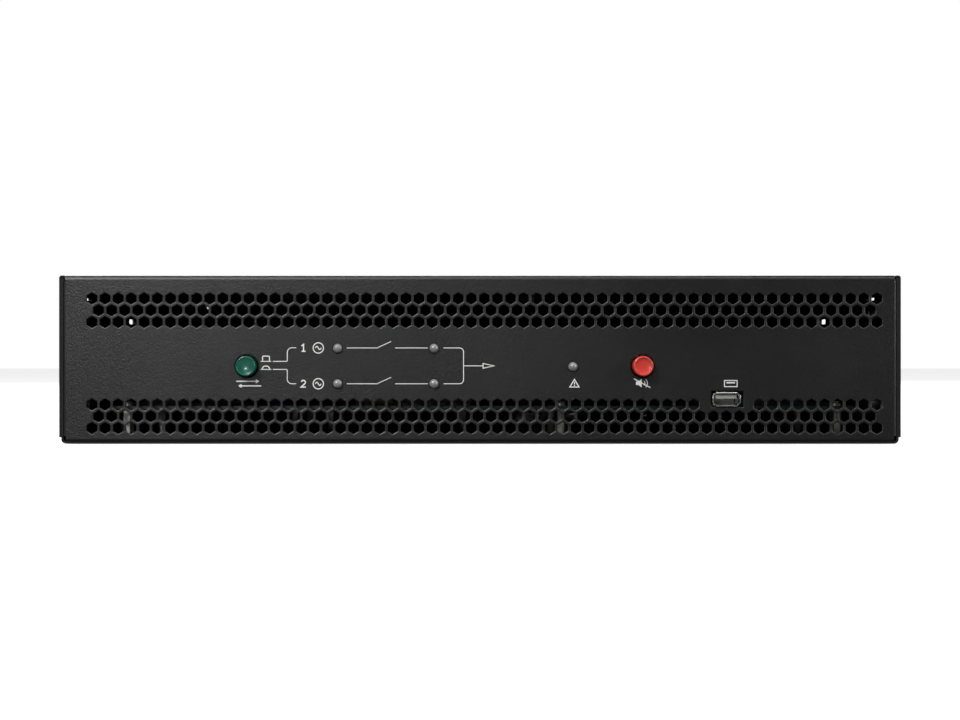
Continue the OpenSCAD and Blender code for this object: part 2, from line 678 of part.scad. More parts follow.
// motor seat and its four arms, reaching to the frame's duct
module fan_motor_seats() {
    color([0.05, 0.05, 0.055])
    for (x = fan_x) difference() {
        union() {
            bar_y(x, fan_y, fan_z, 17, 3, 64);
            intersection() {
                for (a = [0 : 3]) translate([x, 0, fan_z]) rotate([0, 45 + a * 90, 0])
                    box(15, fan_y, -1.6, 24, 3, 3.2);
                bar_y(x, fan_y - 1, fan_z, 37.8, 5, 96);
            }
        }
        bar_y(x, fan_y - 1, fan_z, 1.55, 6, 32);
    }
}

module fan_rotor(x) {
    bar_y(x, fan_y + 3.4, fan_z, 17, 19.6, 64);
    bar_y(x, fan_y + 0.5, fan_z, 1.5, 4, 32);
    intersection() {
        difference() {
            bar_y(x, fan_y + 4.2, fan_z, 36.6, 18, 96);
            bar_y(x, fan_y + 3, fan_z, 16.5, 22, 64);
        }
        for (k = [0 : 6]) translate([x, fan_y + 13.2, fan_z]) rotate([0, k * 360 / 7, 0])
            rotate([0, 0, 0]) translate([0, 0, 26]) rotate([0, 0, 40]) translate([-12, -0.8, -11])
                cube([24, 1.6, 22]);
    }
}
module left_fan_rotor() { color([0.06, 0.06, 0.065]) fan_rotor(fan_x[1]); }
module right_fan_rotor() { color([0.06, 0.06, 0.065]) fan_rotor(fan_x[0]); }

// wire guard: five rings on two crossed rods, four feet with eyes
module finger_guard(x) {
    yg = yr + 3.4;
    translate([x, yg, fan_z]) rotate([-90, 0, 0])
        for (r = [11, 18, 25, 32, 38.5]) rotate_extrude($fn = 96) translate([r, 0]) circle(r = 0.8, $fn = 16);
    for (a = [45, 135]) translate([x, yg - 1.55, fan_z]) rotate([0, a, 0]) translate([-46.6, 0, 0])
        rotate([0, 90, 0]) cylinder(r = 0.8, h = 93.2, $fn = 24);
    for (a = [-1, 1], b = [-1, 1]) difference() {
        bar_y(x + a * 35.75, yr, fan_z + b * 35.75, 4.2, 2.6, 32);
        bar_y(x + a * 35.75, yr - 1, fan_z + b * 35.75, 2.2, 5, 32);
    }
}
module finger_guards() { color([0.75, 0.76, 0.78]) for (x = fan_x) finger_guard(x); }

brk_pivot_y = yr - 9;
module breaker_body(x) {
    difference() {
        union() {
            box(x - 19, yr - sheet - 50, brk_z - 32, 38, 50, 64);
            for (p = [-1, 1]) box(x + p * 9.5 - 7, yr - sheet - eps, brk_z - 12, 14, sheet + 1.6, 24);
        }
        for (p = [-1, 1]) {
            // handle slot with its round well
            box(x + p * 9.5 - 4.2, yr - 12, brk_z - 9.5, 8.4, 16, 19);
            bar_x(x + p * 9.5 - 4.2, brk_pivot_y, brk_z, 9.5, 8.4, 48);
            for (q = [-1, 1]) bar_y(x + p * 9.5, yr - 12, brk_z + q * 25, 1.5, 14, 24);
        }
    }
}
module source1_breaker() { color([0.06, 0.06, 0.065]) breaker_body(brk_x[0]); }
module source2_breaker() { color([0.06, 0.06, 0.065]) breaker_body(brk_x[1]); }

// two paddles joined by a bar, drawn in the off position
module breaker_handle(x) {
    translate([0, brk_pivot_y, brk_z]) rotate([-breaker_throw / 2, 0, 0]) {
        for (p = [-1, 1]) {
            difference() {
                bar_x(x + p * 9.5 - 3.9, 0, 0, 8.6, 7.8, 64);
                box(x + p * 9.5 - 5, -10, -10, 10, 5, 20);
            }
            box(x + p * 9.5 - 3.4, 7, -2.6, 6.8, 14, 5.2);
        }
        box(x - 9.5, 15.5, -1.6, 19, 4, 3.2);
    }
}
module source1_breaker_handle() { color([0.86, 0.86, 0.84]) breaker_handle(brk_x[0]); }
module source2_breaker_handle() { color([0.86, 0.86, 0.84]) breaker_handle(brk_x[1]); }

// cable gland: body with hexagon through the panel, domed nut outside, lock nut inside
module gland_bodies() {
    color([0.08, 0.08, 0.085])
    for (x = gland_x) difference() {
        union() {
            bar_y(x, yr - 9, gland_z, 12.5, 9 + eps, 64);
            translate([x, yr, gland_z]) rotate([-90, 0, 0]) cylinder(r = 16.2, h = 6, $fn = 6);
            bar_y(x, yr + 6 - eps, gland_z, 11.5, 8, 64);
        }
        bar_y(x, yr - 10, gland_z, gland_bore_d / 2, 30, 64);
    }
}
module gland_nuts() {
    color([0.08, 0.08, 0.085])
    for (x = gland_x) {
        // clamping nut
        translate([x, yr + 7, gland_z]) rotate([-90, 0, 0]) difference() {
            union() {
                cylinder(r = 15.6, h = 9, $fn = 6);
                translate([0, 0, 9 - eps]) cylinder(r1 = 13, r2 = 10.2, h = 6, $fn = 64);
            }
            translate([0, 0, -1]) cylinder(r = 11.8, h = 9.2, $fn = 64);
            cylinder(r = gland_bore_d / 2, h = 20, $fn = 64);
        }
        // lock nut behind the panel
        translate([x, yr - sheet - 5, gland_z]) rotate([-90, 0, 0]) difference() {
            cylinder(r = 17, h = 5, $fn = 6);
            translate([0, 0, -1]) cylinder(r = 12.8, h = 8, $fn = 64);
        }
    }
}
module ground_stud() {
    color([0.72, 0.66, 0.38]) {
        bar_y(29.5, yr - 10, 20, 3, 30, 32);
        difference() {
            translate([29.5, yr, 20]) rotate([-90, 0, 0]) cylinder(r = 5.77, h = 5, $fn = 6);
            bar_y(29.5, yr - 1, 20, 2.9, 8, 32);
        }
        translate([29.5, yr - sheet - 5, 20]) rotate([-90, 0, 0]) difference() {
            cylinder(r = 5.77, h = 5, $fn = 6);
            translate([0, 0, -1]) cylinder(r = 2.9, h = 8, $fn = 32);
        }
    }
}
// outline of a nine-way D connector, grown or shrunk by g
module d_outline(g) {
    polygon([[-112 - 8.6 - g, 71 + 3.9 + g], [-112 + 8.6 + g, 71 + 3.9 + g],
             [-112 + 7.2 + g, 71 - 3.9 - g], [-112 - 7.2 - g, 71 - 3.9 - g]]);
}
module serial_port() {
    color([0.74, 0.75, 0.77])
    difference() {
        union() {
            box(-112 - 15.4, yr - sheet - 3.5, 71 - 6.2, 30.8, 3.5, 12.4);
            upright(yr - sheet - eps, sheet + 5.8) d_outline(0.55);
        }
        upright(yr - 8, 20) d_outline(0);
        for (p = [-1, 1]) bar_y(-112 + p * 12.5, yr - 6, 71, 1.8, 8, 24);
    }
}
module serial_insert() {
    color([0.12, 0.12, 0.13])
    difference() {
        upright(yr - 9.2, 14.6) d_outline(-0.1);
        for (k = [-2 : 2]) bar_y(-112 + k * 2.77, yr + 1, 71 + 1.42, 0.6, 6, 16);
        for (k = [-2 : 1]) bar_y(-112 + (k + 0.5) * 2.77, yr + 1, 71 - 1.42, 0.6, 6, 16);
    }
}
module rear_screws() {
    color([0.75, 0.76, 0.78]) {
        for (x = fan_x, a = [-1, 1], b = [-1, 1])
            pan_rear(x + a * 35.75, yr + 2.6, fan_z + b * 35.75, 3.6, 2.4, 2.0, 32);
        for (x = brk_x, p = [-1, 1], q = [-1, 1])
            pan_rear(x + p * 9.5, yr, brk_z + q * 25, 2.8, 1.8, 1.4, 7);
        // hexagon jack screws beside the serial port
        for (p = [-1, 1]) translate([-112 + p * 12.5, yr, 71]) rotate([-90, 0, 0]) difference() {
            union() {
                cylinder(r = 2.75, h = 5, $fn = 6);
                translate([0, 0, -4.7]) cylinder(r = 1.5, h = 4.7 + eps, $fn = 24);
            }
            translate([0, 0, 1.5]) cylinder(r = 1.35, h = 4, $fn = 24);
        }
    }
}
module contact_header() {
    color([0.1, 0.32, 0.16])
    difference() {
        box(-112 - 15, yr - 9, 53.6, 30, 12, 8.2);
        for (k = [0 : 7]) box(-112 - 13.3 + k * 3.36, yr - 1, 55, 2.6, 6, 5.4);
    }
}
module slot_cover() {
    color([0.62, 0.63, 0.65])
    difference() {
        box(-168 - 34, yr, 51.5, 68, 1.2, 27);
        for (p = [-1, 1]) bar_y(-168 + p * 28, yr - 1, 65, 1.7, 4, 24);
    }
}
module slot_thumbscrews() {
    color([0.74, 0.75, 0.77])
    for (p = [-1, 1]) translate([-168 + p * 28, yr + 1.2, 65]) rotate([-90, 0, 0]) difference() {
        union() {
            cylinder(r = 4.2, h = 7, $fn = 48);
            translate([0, 0, -6]) cylinder(r = 1.5, h = 6 + eps, $fn = 24);
        }
        for (k = [0 : 11]) rotate(k * 30) translate([4.2, 0, 1]) cylinder(r = 0.5, h = 7, $fn = 16);
        translate([-5, -0.5, 6]) cube([10, 1, 2]);
    }
}

// insulated leads: straight runs and exact quarter bends
module quarter(r, wr) {
    rotate_extrude(angle = 90, $fn = 64) translate([r, 0]) circle(r = wr, $fn = 24);
}
module power_leads() {
    lz = bus_z + 3.2;
    back = yr - sheet - 50;
    color([0.12, 0.12, 0.13]) {
        // source 1: forward from its breaker, round one corner, to the first link
        bar_y(brk_x[0] + 9, mod_y + 35, lz, 3, back - mod_y - 35, 24);
        translate([brk_x[0] + 21, mod_y + 35, lz]) rotate([0, 0, 180]) quarter(12, 3);
        bar_x(brk_x[0] + 21, mod_y + 23, lz, 3, mod_x[0] + 2 - brk_x[0] - 21, 24);
        // source 2: forward, across in front of the modules, back to the second link
        bar_y(brk_x[1] + 9, mod_y - 4, lz, 3, back - mod_y + 4, 24);
        translate([brk_x[1] + 21, mod_y - 4, lz]) rotate([0, 0, 180]) quarter(12, 3);
        bar_x(brk_x[1] + 21, mod_y - 16, lz, 3, mod_x[2] - brk_x[1] - 21, 24);
        translate([mod_x[2], mod_y - 4, lz]) rotate([0, 0, -90]) quarter(12, 3);
        bar_y(mod_x[2] + 12, mod_y - 4, lz, 3, 21, 24);
    }
}

// ---------- nodes ----------

base_chassis();
front_panel();
front_panel_returns();
rear_panel();
rear_panel_returns();
top_cover();
rail_and_baffle();
cover_screws();
panel_screws();
ear_clinch_nuts();
transfer_button();
silence_button();
button_switches();
source1_input_lamp();
source1_output_lamp();
source2_input_lamp();
source2_output_lamp();
fault_lamp();
lamp_spacers();
display_board();
alarm_buzzer();
usb_shell();
usb_insulator();
control_board();
hex_posts();
board_screws();
relays();
capacitors();
transformers();
board_chips();
board_connectors();
surge_discs();
heatsink();
heatsink_feet();
thyristor_modules();
power_screws();
input_busbars();
output_busbar();
current_transformers();
auxiliary_boards();
inner_terminals();
power_leads();
fan_frames();
fan_motor_seats();
left_fan_rotor();
right_fan_rotor();
finger_guards();
source1_breaker();
source2_breaker();
source1_breaker_handle();
source2_breaker_handle();
rear_screws();
gland_bodies();
gland_nuts();
ground_stud();
serial_port();
serial_insert();
contact_header();
slot_cover();
slot_thumbscrews();
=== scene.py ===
import bpy, bmesh, json, math, random
from mathutils import Vector, Matrix


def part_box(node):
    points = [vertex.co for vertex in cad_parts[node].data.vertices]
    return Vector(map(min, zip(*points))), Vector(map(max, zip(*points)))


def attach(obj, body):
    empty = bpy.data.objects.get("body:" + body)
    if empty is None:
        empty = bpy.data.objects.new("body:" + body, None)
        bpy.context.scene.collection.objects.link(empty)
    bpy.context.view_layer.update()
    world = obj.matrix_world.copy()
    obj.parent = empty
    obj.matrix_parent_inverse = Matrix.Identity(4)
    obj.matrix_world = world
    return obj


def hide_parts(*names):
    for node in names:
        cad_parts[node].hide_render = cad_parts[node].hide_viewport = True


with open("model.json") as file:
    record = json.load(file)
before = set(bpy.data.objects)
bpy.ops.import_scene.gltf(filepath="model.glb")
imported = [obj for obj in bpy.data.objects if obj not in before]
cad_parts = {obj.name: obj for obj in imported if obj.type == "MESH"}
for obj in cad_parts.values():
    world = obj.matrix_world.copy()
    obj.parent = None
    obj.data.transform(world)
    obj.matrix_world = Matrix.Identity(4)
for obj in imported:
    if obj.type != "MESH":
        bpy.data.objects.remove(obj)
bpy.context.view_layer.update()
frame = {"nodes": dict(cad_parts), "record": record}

random.seed(11)
scene = bpy.context.scene
N = frame["nodes"]
MM = 0.001

# ------------------------------------------------------------------ places
fp_lo, fp_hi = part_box("front_panel_returns")
tc_lo, tc_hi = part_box("top_cover")
rp_lo, rp_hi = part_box("rear_panel")
YF = fp_lo.y                       # outer face of the front panel
YR = rp_hi.y                       # outer face of the rear panel


def mid(node):
    a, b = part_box(node)
    return (a + b) / 2


def p(x, z, y=0.0):
    """A point on the front panel, x and z in millimetres, y millimetres in front of it."""
    return Vector((x * MM, YF - y * MM, z * MM))


# ------------------------------------------------------------------ materials
def new_mat(name):
    m = bpy.data.materials.new(name)
    m.use_nodes = True
    nt = m.node_tree
    nt.nodes.clear()
    out = nt.nodes.new("ShaderNodeOutputMaterial")
    bs = nt.nodes.new("ShaderNodeBsdfPrincipled")
    nt.links.new(bs.outputs[0], out.inputs[0])
    return m, nt, bs


def coords(nt, scale=(1, 1, 1), rot=(0, 0, 0)):
    tc = nt.nodes.new("ShaderNodeTexCoord")
    mp = nt.nodes.new("ShaderNodeMapping")
    mp.inputs["Scale"].default_value = scale
    mp.inputs["Rotation"].default_value = rot
    nt.links.new(tc.outputs["Object"], mp.inputs[0])
    return mp.outputs[0]


def noise(nt, vec, scale, detail=3.0, rough=0.55, dist=0.0):
    n = nt.nodes.new("ShaderNodeTexNoise")
    n.inputs["Scale"].default_value = scale
    n.inputs["Detail"].default_value = detail
    n.inputs["Roughness"].default_value = rough
    n.inputs["Distortion"].default_value = dist
    nt.links.new(vec, n.inputs["Vector"])
    return n.outputs["Fac"]


def voro(nt, vec, scale, feature="F1", randomness=1.0, out="Distance"):
    n = nt.nodes.new("ShaderNodeTexVoronoi")
    n.feature = feature
    n.inputs["Scale"].default_value = scale
    n.inputs["Randomness"].default_value = randomness
    nt.links.new(vec, n.inputs["Vector"])
    return n.outputs[out]


def ramp(nt, fac, stops, interp="LINEAR"):
    n = nt.nodes.new("ShaderNodeValToRGB")
    n.color_ramp.interpolation = interp
    e = n.color_ramp.elements
    while len(e) < len(stops):
        e.new(0.5)
    for i, (pos, c) in enumerate(stops):
        e[i].position = pos
        e[i].color = (*c, 1.0) if len(c) == 3 else c
    nt.links.new(fac, n.inputs[0])
    return n.outputs[0]


def grey(nt, fac, a, b, lo=0.0, hi=1.0):
    n = nt.nodes.new("ShaderNodeMapRange")
    n.inputs["From Min"].default_value = lo
    n.inputs["From Max"].default_value = hi
    n.inputs["To Min"].default_value = a
    n.inputs["To Max"].default_value = b
    nt.links.new(fac, n.inputs["Value"])
    return n.outputs[0]


def mixc(nt, fac, a, b, mode="MIX"):
    n = nt.nodes.new("ShaderNodeMix")
    n.data_type = "RGBA"
    n.blend_type = mode
    for sock, v in ((n.inputs[0], fac), (n.inputs[6], a), (n.inputs[7], b)):
        if isinstance(v, (int, float)):
            sock.default_value = v
        elif isinstance(v, (tuple, list)):
            sock.default_value = (*v, 1.0) if len(v) == 3 else v
        else:
            nt.links.new(v, sock)
    return n.outputs[2]


def madd(nt, a, b, op="ADD"):
    n = nt.nodes.new("ShaderNodeMath")
    n.operation = op
    for i, v in enumerate((a, b)):
        if isinstance(v, (int, float)):
            n.inputs[i].default_value = v
        else:
            nt.links.new(v, n.inputs[i])
    return n.outputs[0]


def bump(nt, bs, height, strength=0.3, distance=0.0002, normal=None):
    n = nt.nodes.new("ShaderNodeBump")
    n.inputs["Strength"].default_value = strength
    n.inputs["Distance"].default_value = distance
    nt.links.new(height, n.inputs["Height"])
    if normal is not None:
        nt.links.new(normal, n.inputs["Normal"])
    nt.links.new(n.outputs[0], bs.inputs["Normal"])
    return n.outputs[0]


def powder(name, base, rough=0.5, grain=900.0, strength=0.35, dist=0.00012, spec=0.4, lift=1.5, edge=None):
    """Fine textured powder coat: orange peel, small speckle and slight rubbing marks.
    With a (y, base) pair, the cut edges in front of y, metres, get that darker base colour and a higher roughness:
    painted shade for the recessed gap beside the front panel."""
    m, nt, bs = new_mat(name)
    v = coords(nt)
    peel = noise(nt, v, grain, 2.0, 0.6)
    grit = noise(nt, v, grain * 2.6, 2.0, 0.5)
    broad = noise(nt, v, 14.0, 4.0, 0.6)
    h = madd(nt, peel, madd(nt, grit, 0.5, "MULTIPLY"))
    bump(nt, bs, h, strength, dist)
    speck = ramp(nt, peel, [(0.0, base), (0.52, base), (0.72, tuple(min(1, c * lift) for c in base))])
    dusty = tuple(c * 1.25 + 0.002 for c in base)
    col = mixc(nt, grey(nt, broad, 0.0, 0.5, 0.4, 0.75), speck, dusty)
    if edge:
        tc = nt.nodes.new("ShaderNodeTexCoord")
        sx = nt.nodes.new("ShaderNodeSeparateXYZ")
        nt.links.new(tc.outputs["Object"], sx.inputs[0])
        # painted shade: the cut edges in front of y take a darker base colour that stands for the shade of the recessed
        # gap beside the front panel
        col = mixc(nt, grey(nt, sx.outputs["Y"], 1.0, 0.0, edge[0] - 0.00005, edge[0] + 0.00005), col, edge[1])
    nt.links.new(col, bs.inputs["Base Color"])
    r = madd(nt, grey(nt, broad, rough - 0.05, rough + 0.07, 0.3, 0.7), grey(nt, grit, -0.04, 0.04))
    if edge:
        r = madd(nt, r, grey(nt, sx.outputs["Y"], 0.5, 0.0, edge[0] - 0.00005, edge[0] + 0.00005))
    nt.links.new(r, bs.inputs["Roughness"])
    bs.inputs["Specular IOR Level"].default_value = spec
    return m


def plastic(name, base, rough=0.4, grain=1800.0, strength=0.12, spec=0.5, coat=0.0, vary=0.12, dist=0.00005):
    m, nt, bs = new_mat(name)
    v = coords(nt)
    fine = noise(nt, v, grain, 2.0, 0.5)
    broad = noise(nt, v, 90.0, 4.0, 0.6)
    bump(nt, bs, fine, strength, dist)
    a = tuple(max(0.0, c * (1 - vary)) for c in base)
    b = tuple(min(1.0, c * (1 + vary) + 0.002) for c in base)
    nt.links.new(ramp(nt, broad, [(0.3, a), (0.7, b)]), bs.inputs["Base Color"])
    nt.links.new(madd(nt, grey(nt, broad, rough - 0.05, rough + 0.06, 0.3, 0.7), grey(nt, fine, -0.03, 0.03)),
                 bs.inputs["Roughness"])
    bs.inputs["Specular IOR Level"].default_value = spec
    bs.inputs["Coat Weight"].default_value = coat
    bs.inputs["Coat Roughness"].default_value = 0.12
    return m


def metal(name, base, rough=0.3, stretch=(1, 1, 1), scale=700.0, strength=0.08, vary=0.15, tint=None):
    m, nt, bs = new_mat(name)
    v = coords(nt, stretch)
    fine = noise(nt, v, scale, 3.0, 0.6)
    broad = noise(nt, coords(nt), 60.0, 4.0, 0.6)
    bump(nt, bs, fine, strength, 0.00005)
    a = tuple(c * (1 - vary) for c in base)
    b = tuple(min(1.0, c * (1 + vary * 0.4)) for c in (tint or base))
    nt.links.new(ramp(nt, broad, [(0.3, a), (0.7, b)]), bs.inputs["Base Color"])
    nt.links.new(madd(nt, grey(nt, broad, rough - 0.06, rough + 0.1, 0.3, 0.7), grey(nt, fine, -0.05, 0.05)),
                 bs.inputs["Roughness"])
    bs.inputs["Metallic"].default_value = 1.0
    return m


def circuit(name):
    """Solder mask, darkened as painted shade of the closed cabinet's dim inside, with copper tracks under it and tinned
    pads.
    """
    m, nt, bs = new_mat(name)
    v = coords(nt)
    br = nt.nodes.new("ShaderNodeTexBrick")
    br.inputs["Scale"].default_value = 260.0
    br.inputs["Mortar Size"].default_value = 0.06
    # very dark green mask colours: a dark solder mask, pushed darker as painted shade for the dim inside of the closed
    # cabinet
    br.inputs["Color1"].default_value = (0.003, 0.016, 0.009, 1)
    br.inputs["Color2"].default_value = (0.004, 0.020, 0.011, 1)
    br.inputs["Mortar"].default_value = (0.008, 0.040, 0.022, 1)
    nt.links.new(coords(nt, (1, 1, 1), (0, 0, 0.35)), br.inputs["Vector"])
    cells = voro(nt, v, 240.0, "F1", 0.3)
    pad = ramp(nt, cells, [(0.0, (1, 1, 1)), (0.16, (1, 1, 1)), (0.2, (0, 0, 0))])
    col = mixc(nt, pad, br.outputs["Color"], (0.30, 0.30, 0.28))
    nt.links.new(col, bs.inputs["Base Color"])
    nt.links.new(grey(nt, noise(nt, v, 300.0), 0.25, 0.45), bs.inputs["Roughness"])
    bump(nt, bs, br.outputs["Fac"], 0.15, 0.00003)
    return m


M = {}
M["powder_black"] = powder("powder_coat_black", (0.0050, 0.0050, 0.0052), rough=0.34, grain=1100.0, strength=1.0, dist=0.00020, spec=0.45)
# the cover and the tray use this coat; its darker base colour on their front cut edges is painted shade of the recessed
# gap beside the front panel
cover_black = powder("powder_coat_cover", (0.0085, 0.0085, 0.0088), rough=0.36, grain=1100.0, strength=1.0, dist=0.00022, spec=0.45,
                     edge=(YF + 0.0012, (0.0025, 0.0025, 0.0026)))
M["zinc"] = metal("zinc_plated_steel", (0.42, 0.42, 0.41), 0.34, tint=(0.46, 0.45, 0.41))
M["black_screw"] = metal("black_oxide_steel", (0.045, 0.045, 0.05), 0.38)
M["green_cap"] = plastic("cap_green", (0.0, 0.070, 0.042), 0.24, coat=0.35, grain=1300.0, strength=0.08)
M["red_cap"] = plastic("cap_red", (0.50, 0.035, 0.022), 0.32, coat=0.3, grain=1300.0, strength=0.08)
M["lamp_body"] = plastic("lamp_epoxy_grey", (0.17, 0.17, 0.17), 0.12, coat=0.8, strength=0.02)
M["black_plastic"] = plastic("moulded_black", (0.018, 0.018, 0.02), 0.48)
M["circuit_board"] = circuit("circuit_board")
M["shell_steel"] = metal("bright_steel", (0.74, 0.74, 0.73), 0.2, scale=1500.0, strength=0.05)
M["white_plastic"] = plastic("moulded_white", (0.30, 0.30, 0.28), 0.42, vary=0.06)
M["blue_plastic"] = plastic("moulded_blue", (0.010, 0.014, 0.035), 0.4)
M["capacitor_sleeve"] = plastic("capacitor_sleeve", (0.02, 0.02, 0.035), 0.3)
M["winding"] = plastic("taped_winding", (0.10, 0.07, 0.02), 0.45)
M["heatsink_metal"] = metal("extruded_aluminium", (0.66, 0.67, 0.68), 0.38, stretch=(1, 0.05, 1), scale=1600.0, strength=0.1)
M["copper"] = metal("bare_copper", (0.78, 0.36, 0.2), 0.3, tint=(0.62, 0.28, 0.16))
M["grey_plastic"] = plastic("moulded_grey", (0.25, 0.27, 0.26), 0.45)
M["lead_insulation"] = plastic("lead_insulation", (0.02, 0.02, 0.022), 0.42)
M["guard_wire"] = metal("nickel_wire", (0.66, 0.65, 0.62), 0.22, scale=900.0)
M["handle_white"] = plastic("handle_white", (0.68, 0.68, 0.64), 0.35, vary=0.05)
M["brass_stud"] = metal("brass_plated", (0.72, 0.55, 0.24), 0.27, tint=(0.66, 0.5, 0.24))
M["green_plastic"] = plastic("moulded_green", (0.015, 0.16, 0.05), 0.4)

slot_of = {s["node"]: s["material_slot"] for s in frame["record"]["subparts"]}
for name, ob in N.items():
    ob.data.materials.clear()
    ob.data.materials.append(cover_black if name in ("top_cover", "base_chassis") else M[slot_of[name]])


# ------------------------------------------------------------------ mesh helpers
def mesh_object(name, bm, mat, body="cabinet", smooth=True, angle=35.0):
    me = bpy.data.meshes.new(name)
    bm.to_mesh(me)
    bm.free()
    ob = bpy.data.objects.new(name, me)
    scene.collection.objects.link(ob)
    if not isinstance(mat, (list, tuple)):
        mat = [mat]
    for m in mat:
        me.materials.append(m)
    for f in me.polygons:
        f.use_smooth = smooth
    if smooth:
        me.set_sharp_from_angle(angle=math.radians(angle))
    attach(ob, body)
    return ob


def soften(node, width, segments=2, limit=40.0):
    """Rounds the hard edges of a CAD node a little."""
    ob = N[node]
    w = ob.modifiers.new("weld", "WELD")
    w.merge_threshold = 1e-6
    b = ob.modifiers.new("round", "BEVEL")
    b.width = width
    b.segments = segments
    b.limit_method = "ANGLE"
    b.angle_limit = math.radians(limit)
    b.harden_normals = False
    b.use_clamp_overlap = True
    n = ob.modifiers.new("flat", "WEIGHTED_NORMAL")   # large faces stay flat
    n.mode = "FACE_AREA"
    n.weight = 100
    n.keep_sharp = True
    for f in ob.data.polygons:
        f.use_smooth = True
    return ob


def add_lathe(bm, profile, origin, seg=64, axis="Y", mat=0):
    """profile: list of (along, radius) in metres, starting and ending on any radius; axis Y points along +Y."""
    rings = []
    for a, r in profile:
        if r < 1e-9:
            rings.append([bm.verts.new(place(origin, axis, a, 0, 0))])
        else:
            rings.append([bm.verts.new(place(origin, axis, a, r * math.cos(2 * math.pi * k / seg), r * math.sin(2 * math.pi * k / seg)))
                          for k in range(seg)])
    for r0, r1 in zip(rings, rings[1:]):
        for k in range(seg):
            a, b = r0[k % len(r0)], r0[(k + 1) % len(r0)]
            c, d = r1[(k + 1) % len(r1)], r1[k % len(r1)]
            vs = []
            for q in (a, b, c, d):
                if q not in vs:
                    vs.append(q)
            if len(vs) > 2:
                f = bm.faces.new(vs)
                f.material_index = mat
    return rings


def place(o, axis, a, u, v):
    if axis == "Y":
        return Vector((o[0] + u, o[1] + a, o[2] + v))
    if axis == "X":
        return Vector((o[0] + a, o[1] + u, o[2] + v))
    return Vector((o[0] + u, o[1] + v, o[2] + a))


def add_box(bm, lo, hi, mat=0, rnd=0.0):
    vs = [bm.verts.new((x, y, z)) for x in (lo[0], hi[0]) for y in (lo[1], hi[1]) for z in (lo[2], hi[2])]
    fs = []
    for q in ((0, 1, 3, 2), (4, 6, 7, 5), (0, 4, 5, 1), (2, 3, 7, 6), (0, 2, 6, 4), (1, 5, 7, 3)):
        f = bm.faces.new([vs[i] for i in q])
        f.material_index = mat
        fs.append(f)
    if rnd > 0:
        es = list({e for f in fs for e in f.edges})
        bmesh.ops.bevel(bm, geom=es, offset=rnd, segments=2, affect="EDGES", profile=0.5)
    return fs


def arc(cx, cy, r, a0, a1, n):
    return [(cx + r * math.cos(math.radians(a0 + (a1 - a0) * k / n)),
             cy + r * math.sin(math.radians(a0 + (a1 - a0) * k / n))) for k in range(n + 1)]


# ------------------------------------------------------------------ front panel sheet
def rounded_hex(cx, cz, flats, corner, seg=3):
    """Counter-clockwise outline of a point-up hexagon with rounded corners, millimetres."""
    ap = flats / 2.0
    cen = (ap - corner) / math.cos(math.radians(30))
    pts = []
    for k in range(6):
        a = 30 + 60 * k
        ox, oz = cx + cen * math.cos(math.radians(a)), cz + cen * math.sin(math.radians(a))
        for j in range(seg + 1):
            t = math.radians(a - 30 + 60 * j / seg)
            pts.append((ox + corner * math.cos(t), oz + corner * math.sin(t)))
    return pts


EDGE = 0.44                                     # roll of the punched edges, mm
PROF = [(0.0, 0.46), (0.025, 0.40), (0.165, 0.06), (0.24, 0.015), (0.36, 0.0)]   # depth, growth
PITCH, SHIFT = 6.83, 2.3


def panel_holes():
    holes = []
    for b, zc in ((0, 14.35), (1, 69.7)):
        for r in (-1, 0, 1):
            n = 60 if r == 0 else 61
            for k in range(n):
                if b == 0 and r == 1 and 46 < k < 51:
                    continue
                cx, cz = SHIFT + (k - (n - 1) / 2.0) * PITCH, zc + r * 6.15
                holes.append([rounded_hex(cx, cz, 5.4 + 2 * g, 0.45 + g) for _, g in PROF])
    for nm in ("transfer_button", "silence_button"):
        c = mid(nm) / MM
        holes.append([[(c.x + (6.1 + g) * math.cos(2 * math.pi * k / 72), c.z + (6.1 + g) * math.sin(2 * math.pi * k / 72))
                       for k in range(72)] for _, g in PROF])
    for nm in ("source1_input_lamp", "source1_output_lamp", "source2_input_lamp", "source2_output_lamp", "fault_lamp"):
        lo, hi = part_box(nm)
        cx, cz = (lo.x + hi.x) / 2 / MM, hi.z / MM - 2.9
        holes.append([[(cx + (2.6 + g * 0.5) * math.cos(2 * math.pi * k / 48), cz + (2.6 + g * 0.5) * math.sin(2 * math.pi * k / 48))
                       for k in range(48)] for _, g in PROF])
    u = mid("usb_shell") / MM
    x0, x1, z0, z1 = u.x - 8.0, u.x + 8.9, u.z - 4.3, u.z + 4.4
    loops = []
    for _, g in PROF:
        c = 0.5 + g * 0.6
        g = g * 0.6
        lp = []
        for ox, oz, a in ((x1 + g - c, z0 - g + c, -90), (x1 + g - c, z1 + g - c, 0), (x0 - g + c, z1 + g - c, 90), (x0 - g + c, z0 - g + c, 180)):
            lp += arc(ox, oz, c, a, a + 90, 4)
        loops.append(lp)
    holes.append(loops)
    return holes


